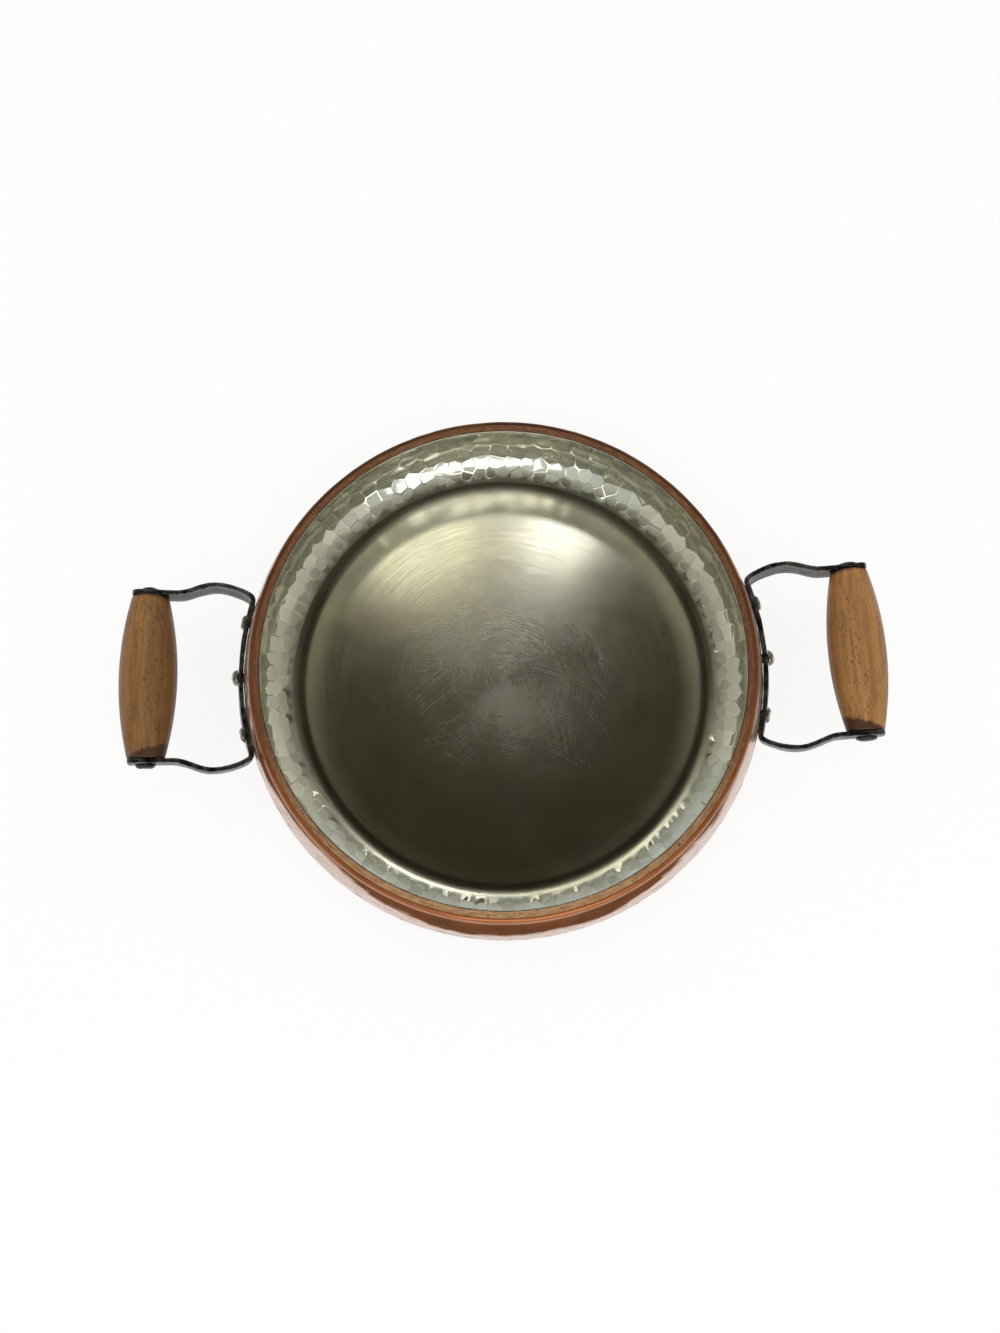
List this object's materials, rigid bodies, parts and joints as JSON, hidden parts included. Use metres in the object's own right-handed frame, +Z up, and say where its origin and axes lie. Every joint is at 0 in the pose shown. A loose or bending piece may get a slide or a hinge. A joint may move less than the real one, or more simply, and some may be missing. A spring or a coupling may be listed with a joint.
{
  "type": "casserole pot",
  "caption": "Low round-bellied copper pot with a tinned inside, a flat base, and side handles of bent iron strip with turned wooden grips.",
  "frame": {"origin": "centre of the flat base, on the surface that the pot stands on", "axes": "+Z up through the opening, +X along the handles towards the right grip, +Y away from the viewer in the picture"},
  "size_m": [0.3852, 0.2746, 0.068],
  "materials": {
    "copper": "hammered and brushed copper, browned at the rim",
    "tin": "wiped tin lining, satin, hammered walls and a brushed floor",
    "black_iron": "blackened forged iron strip, worn bright at the edges",
    "rod_iron": "dark iron, hammered ends",
    "rivet_steel": "tinned steel rivet heads",
    "oiled_wood": "satin oiled hardwood with fine open pores"
  },
  "bodies": {
    "pot": {"pot_body": "copper", "tin_lining": "tin", "left_bracket": "black_iron", "right_bracket": "black_iron", "left_grip_rod": "rod_iron", "right_grip_rod": "rod_iron", "left_rivet_middle": "rivet_steel", "left_rivet_front": "rivet_steel", "left_rivet_back": "rivet_steel", "right_rivet_middle": "rivet_steel", "right_rivet_front": "rivet_steel", "right_rivet_back": "rivet_steel"},
    "left_grip_turner": {"left_grip": "oiled_wood"},
    "right_grip_turner": {"right_grip": "oiled_wood"}
  },
  "joints": [
    {"name": "left_grip_spin", "type": "hinge", "parent": "pot", "child": "left_grip_turner", "pos_m": [-0.17871, 0, 0.05409], "axis": [0, 1, 0], "continuous": true},
    {"name": "right_grip_spin", "type": "hinge", "parent": "pot", "child": "right_grip_turner", "pos_m": [0.17871, 0, 0.05409], "axis": [0, 1, 0], "continuous": true}
  ]
}
